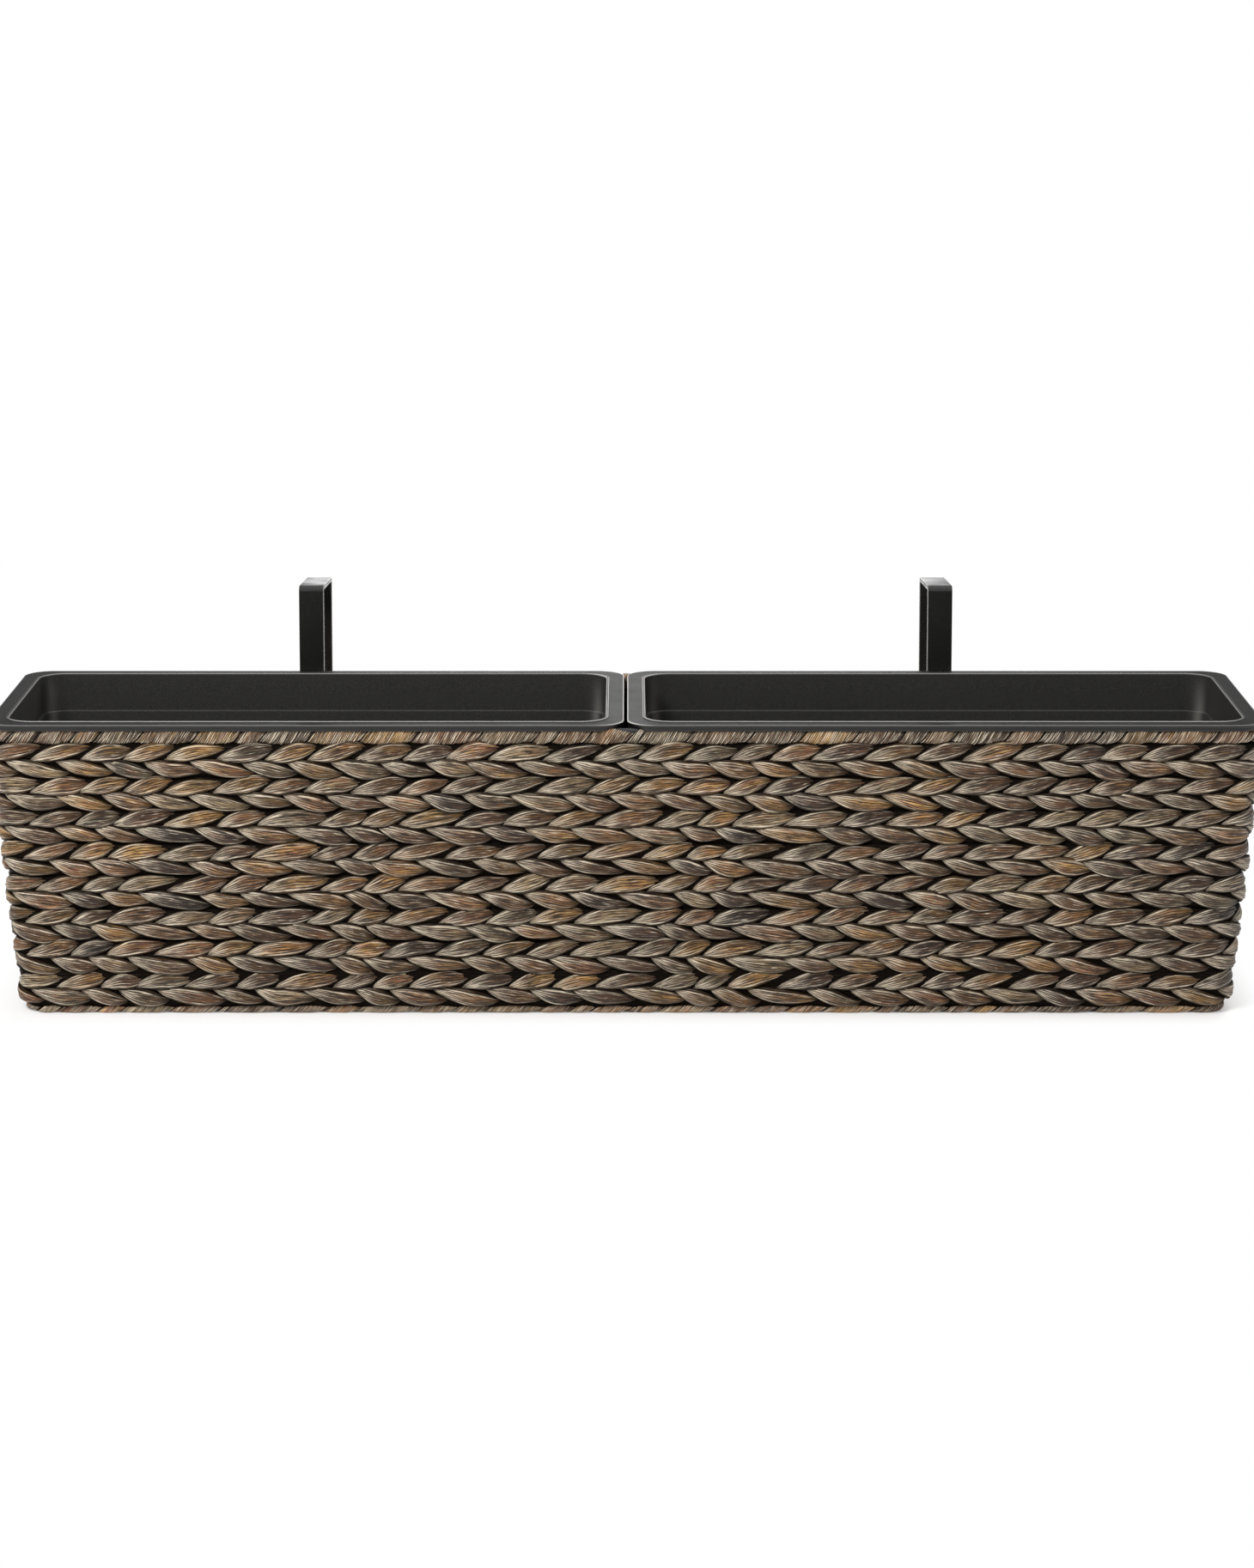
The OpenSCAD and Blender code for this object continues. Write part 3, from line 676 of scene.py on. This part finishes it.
def easedProfile(corners, pieces=4):
    # Each corner of the profile becomes a parabola arc that begins and ends its fillet's
    # length away: a (1-q)^2 + 2 c q (1-q) + b q^2, with q from 0 to 1. The fourth number of a
    # row is its polish and painted highlight, which rises by a sine to the corner's own value in
    # the arc's middle.
    corners = np.array(corners, float)
    rows = []
    q = np.linspace(0, 1, pieces + 1)[:, None]
    for k, row in enumerate(corners):
        point, fillet, polishAndHighlight = row[:3], row[3], row[4]
        if fillet == 0:
            rows.append(np.append(point, 0)[None])
            continue
        before, after = corners[k - 1, :3] - point, corners[k + 1, :3] - point
        backShare = min(fillet / np.hypot(*before[:2]), 0.45)
        onShare = min(fillet / np.hypot(*after[:2]), 0.45)
        a, b = point + before * backShare, point + after * onShare
        # a row just outside each end of the arc keeps the flats evenly shaded
        arc = a * (1 - q) ** 2 + 2 * point * q * (1 - q) + b * q ** 2
        rows += [np.append(point + before * backShare * 1.1, 0)[None],
                 np.hstack([arc, polishAndHighlight * np.sin(math.pi * q)]),
                 np.append(point + after * onShare * 1.1, 0)[None]]
    return np.concatenate(rows)


linerShape = {
    "flange": 2.0, "flangeRadius": 17.8, "wall": 1.8, "inner": 11.6, "tubRadius": 16.76,
    "lipHeight": 4.5, "lipInset": 1.4,    # the inset is that of the lip's inner face
    "lipStep": 0.3, "lipStepFrom": 1.9, "lipStepTo": 2.2,    # a set-back round the lip's outside
    "beadHeight": 0.5, "beadFrom": 9.6, "beadTo": 9.9,    # the insets are those of its slope
    "step": 25.0, "stepWidth": 1.5, "draft": 2.5, "floorInset": 6.0,
    "cornerPoints": 20, "notch": 4.2, "notchZone": 22.0}
linerShine = {
    "bead": 0.25, "lip": 0.6, "lipFront": 0.4, "lipSlot": 0.8,    # polish and painted highlight of beads and lip
    "cornerSpread": 0.25, "flat": 0.6, "flatFront": 0.35}    # spread of the painted sheen in the inner corners; how far painted shade darkens the flange


def liner(node, body):
    low, high, middle, half = nodeBox(node)
    shape, shine = linerShape, linerShine
    bottom, top = low[2], high[2]
    under, stepZ = top - shape["flange"], top - shape["step"]
    lipZ, bedZ = top - shape["lipHeight"], top - shape["beadHeight"]
    slope = math.tan(math.radians(shape["draft"]))
    flange, tub, inner = shape["flangeRadius"], shape["tubRadius"], shape["inner"]
    outer, outerRadius = inner - shape["wall"], tub + shape["wall"]
    ledge, lip, lipStep = shape["stepWidth"], shape["lipInset"], shape["lipStep"]

    def wallIn(z, step):
        # how far the wall has come in at a height: a light draft, then the step, then the lean
        upper = (under - np.maximum(z, step)) * slope
        below = (step - z) * wallSlope + ledge
        return upper + np.where(z < step, below, 0)

    stepOut, insideZ = stepZ - shape["wall"], bottom + shape["wall"]
    outLow, outStep = wallIn(bottom, stepOut), wallIn(stepOut + 1e-6, stepOut)
    inLow, inStep = wallIn(insideZ, stepZ), wallIn(stepZ + 1e-6, stepZ)
    # rows of: inset from the flange's edge, height, plan radius of the corner, fillet, polish and
    # painted highlight
    profile = easedProfile([
        (outer + outLow + shape["floorInset"], bottom, 1.2, 0, 0),
        (outer + outLow, bottom, outerRadius - outLow, 3.0, 0),
        (outer + outStep + ledge, stepOut, outerRadius - outStep - ledge, 0.4, 0),
        (outer + outStep, stepOut, outerRadius - outStep, 0.4, 0),
        (outer, under, outerRadius, 0.8, 0),
        (lip, under, flange - lip, 0.4, 0),
        (lip, lipZ, flange - lip, 0.3, 0),
        (lipStep, lipZ, flange - lipStep, 0.5, 0.2),
        (lipStep, top - shape["lipStepTo"], flange - lipStep, 0.2, 0),
        (0.0, top - shape["lipStepFrom"], flange, 0.2, 0),
        (0.0, bedZ, flange, 0.9, 0.7),
        (shape["beadFrom"], bedZ, tub + inner - shape["beadFrom"], 0.2, 0),
        (shape["beadTo"], top, tub + inner - shape["beadTo"], 0.4, 1.0),
        (inner, top, tub, 0.9, 1.0),
        (inner + inStep, stepZ, tub - inStep, 0.35, 0.12),
        (inner + inStep + ledge, stepZ, tub - inStep - ledge, 0.35, 0.1),
        (inner + inLow, insideZ, tub - inLow, 3.5, 0),
        (inner + inLow + shape["floorInset"], insideZ, 1.0, 0, 0)])
    # each profile row becomes a rounded rectangle: four arcs round the corners' centres
    per = shape["cornerPoints"]
    quarter = math.pi / 2
    turn = (quarter * (np.arange(4)[:, None] - 1) + quarter * np.linspace(0, 1, per)).ravel()
    signX, signY = np.repeat([1, 1, -1, -1], per), np.repeat([-1, 1, 1, -1], per)
    inset, height, radius, glint = (profile[:, k][:, None] for k in range(4))
    x = middle[0] + signX * (half[0] - inset - radius) + radius * np.cos(turn)
    y = middle[1] + signY * (half[1] - inset - radius) + radius * np.sin(turn)
    z = height + np.zeros_like(x)
    # the lip is notched where it crosses the wound rim beside the slot
    rimHigh, rimHalf = nodeBox("rim_wrap_top")[1::2]
    rimZ = rimHigh[2] - rimWrap["radius"]
    off = np.abs(y - middle[1]) - (rimHalf[1] - rimWrap["radius"])
    dip = rimWrap["dip"] * np.maximum(1 - (x / rimWrap["frontReach"]) ** 2, 0) ** 2
    arch = rimZ + np.sqrt(np.maximum(shape["notch"] ** 2 - off ** 2, 0)) - dip * (np.sin(turn) < 0)
    beside = (np.abs(x) < shape["notchZone"]) & (height < under - 0.2) & (inset < 2)
    z = np.where(beside, np.maximum(z, np.minimum(arch, under)), z)
    rows, around = x.shape
    quads = tubeFaces(rows, around)[:(rows - 1) * around][:, ::-1]
    caps = endCaps(rows, around)
    # the beads get most polish and painted highlight in front and beside the slot, a painted
    # sheen fills the inner corners, and painted shade darkens the lip and the flange away from the
    # slot
    front = np.maximum(-np.sin(turn), 0)
    slot = np.maximum(np.cos(turn) * (1 if middle[0] < 0 else -1), 0)
    beads = shine["bead"] + (1 - shine["bead"]) * (front ** 2 + slot ** 2)
    rest = shine["lip"] - shine["lipFront"] * front + shine["lipSlot"] * slot
    polishAndHighlight = glint * np.where(inset > 5, beads, rest)
    corner = np.exp(-((turn % quarter - quarter / 2) / shine["cornerSpread"]) ** 2)
    sheen = (inset > inner + 0.2) * corner
    lipShare = (inset < 1.5) & (height < top - 1.5)
    flat = (inset > 0.8) & (inset < 9.8) & (height > bedZ - 0.1)
    flatShare = (shine["flat"] + shine["flatFront"] * front ** 2) * flat * (1 - slot ** 2)
    values = triples(polishAndHighlight, sheen, np.maximum(lipShare, flatShare)).reshape(-1, 3)
    piece = makePiece(f"moulded_{node}", triples(x, y, z).reshape(-1, 3), quads,
                      mouldedPolypropylene, caps,
                      {"edge": values[np.concatenate([quads.ravel(), *caps])]})
    dress(piece, body, "liner_plastic", node)


for side in ("left", "right"):
    liner(f"liner_{side}", f"liner_{side}")
print("liners made")


coatLook = {"cloud": 18.0, "roughnessRange": 0.05, "edgeRoughness": 0.2, "edge": "#8c8a86"}


def coatMaterial(name, colour, roughness, peel, peelDepth):
    # polyester powder coat on steel: an even satin skin with a faint orange peel, smoother and
    # paler by a painted highlight along the edges that its edge attribute marks
    material, tree = newMaterial(name)
    place = addNode(tree, "TexCoord").outputs["Object"]
    edge = attributeParts(tree, "edge")[1][0]
    skin, cloud = [addNode(tree, "TexNoise", values={
        "Vector": place, "Scale": 1 / (size * millimetre), "Detail": detail})
        for size, detail in ((peel, 1.0), (coatLook["cloud"], 2.0))]
    rough = addNode(tree, "MapRange", values={
        0: cloud, 1: 0.3, 2: 0.7, 3: roughness - coatLook["roughnessRange"],
        4: roughness + coatLook["roughnessRange"]})
    bump = addNode(tree, "Bump", values={
        "Strength": 0.5, "Distance": peelDepth * millimetre, "Height": skin})
    rough, tint = edgeShine(tree, edge, rough, linearColour(colour), coatLook)
    shader = addNode(tree, "BsdfPrincipled", values={
        "Base Color": tint, "Roughness": rough, "IOR": 1.5, "Normal": bump})
    addNode(tree, "OutputMaterial", values={0: shader})
    return material


satinPowderCoat = coatMaterial("satinPowderCoatedSteel", "#171716", 0.26, 1.6, 0.008)
wirePowderCoat = coatMaterial("powderCoatedWire", "#232324", 0.42, 1.2, 0.03)

zincLook = {"spangle": 1.4, "roughness": (0.28, 0.42), "low": "#a7a9aa", "high": "#c2c3c0"}
zincPlatedSteel, tree = newMaterial("zincPlatedSteel")
place = addNode(tree, "TexCoord").outputs["Object"]
spangle = addNode(tree, "TexVoronoi", values={
    "Vector": place, "Scale": 1 / (zincLook["spangle"] * millimetre)})
rough = addNode(tree, "MapRange", values={
    0: spangle, 1: 0.0, 2: 1.0, 3: zincLook["roughness"][0], 4: zincLook["roughness"][1]})
tint = addNode(tree, "ValToRGB", values={0: spangle}, stops=[
    (0.0, zincLook["low"]), (1.0, zincLook["high"])])
shader = addNode(tree, "BsdfPrincipled", values={
    "Base Color": tint, "Metallic": 1.0, "Roughness": rough})
addNode(tree, "OutputMaterial", values={0: shader})


hangerShape = {
    "thickness": 3.0, "edge": 0.55, "bend": 5.0, "rearLeg": 100.0, "wallGap": 0.77,
    "foot": 94.37, "top": 246.558, "depth": 76.0,
    "wallFoot": 81.5}    # from the basket's middle to the back wall at the ground


def hanger(node):
    # a flat bar with rounded edges, carried along an inverted U that leans with the back wall
    shape = hangerShape
    middle, reach = nodeBox(node)[2:]
    half, edge, lean = shape["thickness"] / 2, shape["edge"], math.atan(wallSlope)
    bend = shape["bend"] - half
    near, far = shape["wallGap"] + half, shape["wallGap"] + shape["depth"] - half
    roof, rearFoot = shape["top"] - half, shape["top"] - shape["rearLeg"]
    arc = np.linspace(0, math.pi / 2, 9)
    ends = np.array([0, 0.15, 0.5, 1.0])    # end rings that round the bar's cut ends
    one = np.ones(len(ends))
    y = np.concatenate([near * one, near + bend - bend * np.cos(arc),
                        far - bend + bend * np.sin(arc), far * one])
    z = np.concatenate([shape["foot"] + edge * ends, roof - bend + bend * np.sin(arc),
                        roof - bend + bend * np.cos(arc), rearFoot + edge * ends[::-1]])
    turn = np.concatenate([0 * one, arc, math.pi / 2 + arc, math.pi * one])
    cut = edge * (1 - np.sin(ends * math.pi / 2))
    shrink = np.concatenate([cut, np.zeros(2 * len(arc)), cut[::-1]])
    # section loop: four rounded corners; a is across the bar, b outwards from the middle line
    per = 5
    corner = np.linspace(0, 1, per)
    angle = (math.pi / 2 * (np.arange(4)[:, None] + corner)).ravel()
    signA, signB = np.repeat([1, -1, -1, 1], per), np.repeat([1, 1, -1, -1], per)
    a = signA * (reach[0] - edge - shrink[:, None]) + edge * np.cos(angle)
    b = signB * (half - edge - shrink[:, None]) + edge * np.sin(angle)
    wallY = y[:, None] - b * np.cos(turn)[:, None]
    wallZ = z[:, None] + b * np.sin(turn)[:, None]
    footY = nodeBox("plait_course_8")[2][1] + shape["wallFoot"]
    points = triples(middle[0] + a, footY + wallY * math.cos(lean) + wallZ * math.sin(lean),
                     wallZ * math.cos(lean) - wallY * math.sin(lean))
    rows, around = points.shape[:2]
    quads = tubeFaces(rows, around)[:(rows - 1) * around]
    caps = endCaps(rows, around)
    # the edge towards the basket's middle is the shinier one: smoother, with a painted highlight
    shine = np.tile(np.sin(math.pi * corner), 4) * (signA * middle[0] < 0)
    values = np.tile(shine, rows)[:, None] * (1, 0, 0)
    piece = makePiece(f"flat_{node}", points.reshape(-1, 3), quads, satinPowderCoat, caps,
                      {"edge": values[np.concatenate([quads.ravel(), *caps])]})
    dress(piece, "root", "hanger_steel", node)


for side in ("left", "right"):
    hanger(f"hanger_{side}")
print("hangers made")

finishes = {"frame_": wirePowderCoat, "hanger_plate": satinPowderCoat,
            "hanger_screws": zincPlatedSteel, "hanger_washers": zincPlatedSteel}
for name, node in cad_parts.items():
    for start, finish in finishes.items():
        if name.startswith(start):
            for item in node.material_slots:
                item.material = finish

# Pale floor: it keeps the shadow near the object and fades to white further out, by a smooth
# step of the distance from a rectangle inside the basket's foot. Sizes are in metres.
floorLook = {"size": 3.0, "below": 0.05, "colour": "#f4f3f1", "footprint": (0.365, 0.06),
             "centreY": -0.041, "fade": 0.05}
paleFloor, tree = newMaterial("paleFloor")
spot = addNode(tree, "TexCoord").outputs["Object"]
for operation, other in (("SUBTRACT", (0, floorLook["centreY"], 0)), ("ABSOLUTE", None),
                         ("SUBTRACT", (*floorLook["footprint"], 0)), ("MAXIMUM", (0, 0, 0))):
    values = {0: spot, 1: other} if other else {0: spot}
    spot = addNode(tree, "VectorMath", {"operation": operation}, values)
distance = addNode(tree, "VectorMath", {"operation": "LENGTH"}, {0: spot}).outputs["Value"]
fade = addNode(tree, "MapRange", smoothStep, {
    0: distance, 1: 0.0, 2: floorLook["fade"], 3: 0.0, 4: 1.0})
share = addNode(tree, "Math", {"operation": "MULTIPLY"}, {
    0: fade, 1: addNode(tree, "LightPath").outputs["Is Camera Ray"]})
matt = addNode(tree, "BsdfDiffuse", values={0: linearColour(floorLook["colour"])})
white = addNode(tree, "Emission", values={0: (1, 1, 1, 1), 1: 1.0})
blend = addNode(tree, "MixShader", values={0: share, 1: matt, 2: white})
addNode(tree, "OutputMaterial", values={0: blend})
half = floorLook["size"] / 2 / millimetre
square = np.array([[-half, -half, 0], [half, -half, 0], [half, half, 0], [-half, half, 0]])
floor = makePiece("floor", square - (0, 0, floorLook["below"]), np.arange(4)[None], paleFloor)

# Surroundings: white to the camera. For reflections they are bright low behind the object and
# high above it, and dark between and in front, as in a studio with a lit back wall and a
# ceiling light. For scattered light they are even. A row is the direction's part that counts,
# the range of it and the two strengths at its ends.
scatteredLight = 0.42
skyLook = {
    "wall": (2, 0.04, 0.24, 2.3, 0.0), "wallBehind": (1, 0.0, 0.4, 0.0, 1.0),
    "wallCentre": (0, 0.05, 0.16, 1.0, 0.05),
    "ceiling": (2, 0.45, 0.8, 0.1, 1.1), "side": (0, 0.75, 0.95, 0.0, 1.2)}
world = bpy.data.worlds.new("studio")
bpy.context.scene.world = world
world.use_nodes = True
tree = world.node_tree
tree.nodes.clear()
ray = addNode(tree, "LightPath").outputs
heading = addNode(tree, "SeparateXYZ", values={0: addNode(tree, "TexCoord").outputs["Generated"]})
glow = {}
for name, (part, *limits) in skyLook.items():
    along = heading.outputs[part]
    if name == "wallCentre":
        along = addNode(tree, "Math", {"operation": "ABSOLUTE"}, {0: along})
    glow[name] = addNode(tree, "MapRange", smoothStep, dict(enumerate([along, *limits])))
mirrored = glow["wall"]
for name, operation in (("wallBehind", "MULTIPLY"), ("wallCentre", "MULTIPLY"),
                        ("ceiling", "MAXIMUM"), ("side", "MAXIMUM")):
    mirrored = addNode(tree, "Math", {"operation": operation}, {0: mirrored, 1: glow[name]})
strength = addNode(tree, "Mix", values={0: ray["Is Glossy Ray"], 2: scatteredLight, 3: mirrored})
direct = addNode(tree, "Math", {"operation": "MAXIMUM"}, {
    0: ray["Is Camera Ray"], 1: ray["Is Transmission Ray"]})
strength = addNode(tree, "Mix", values={0: direct, 2: strength, 3: 1.0})
sky = addNode(tree, "Background", values={0: (1, 1, 1, 1), 1: strength})
addNode(tree, "OutputWorld", values={0: sky})

# Lamps: place, aimed at point, size and power
lamps = {
    "key": ((-1.2, -1.9, 2.1), (0, 0, 0.1), (1.0, 0.8), 81),
    "back": ((1.3, 2.2, 1.2), (0, 0, 0.1), (1.2, 0.8), 45),
    "low": ((-1.0, -1.7, 0.25), (-0.1, 0, 0.02), (1.2, 0.4), 6),
    "top": ((0.3, 0.5, 2.4), (0, 0, 0.15), (1.8, 0.8), 18)}
for name, (place, aim, size, power) in lamps.items():
    data = bpy.data.lights.new(name, "AREA")
    data.shape = "RECTANGLE"
    data.size, data.size_y = size
    data.energy = power
    lamp = bpy.data.objects.new(name, data)
    lamp.location = place
    x, y, z = np.array(aim) - np.array(place)
    lamp.rotation_euler = (math.atan2(math.hypot(x, y), -z), 0, math.atan2(-x, y))
    lamp.visible_glossy = False    # reflections show the surroundings only
    bpy.context.collection.objects.link(lamp)
print("stage and lights made")

bpy.context.scene.view_settings.view_transform = "Standard"
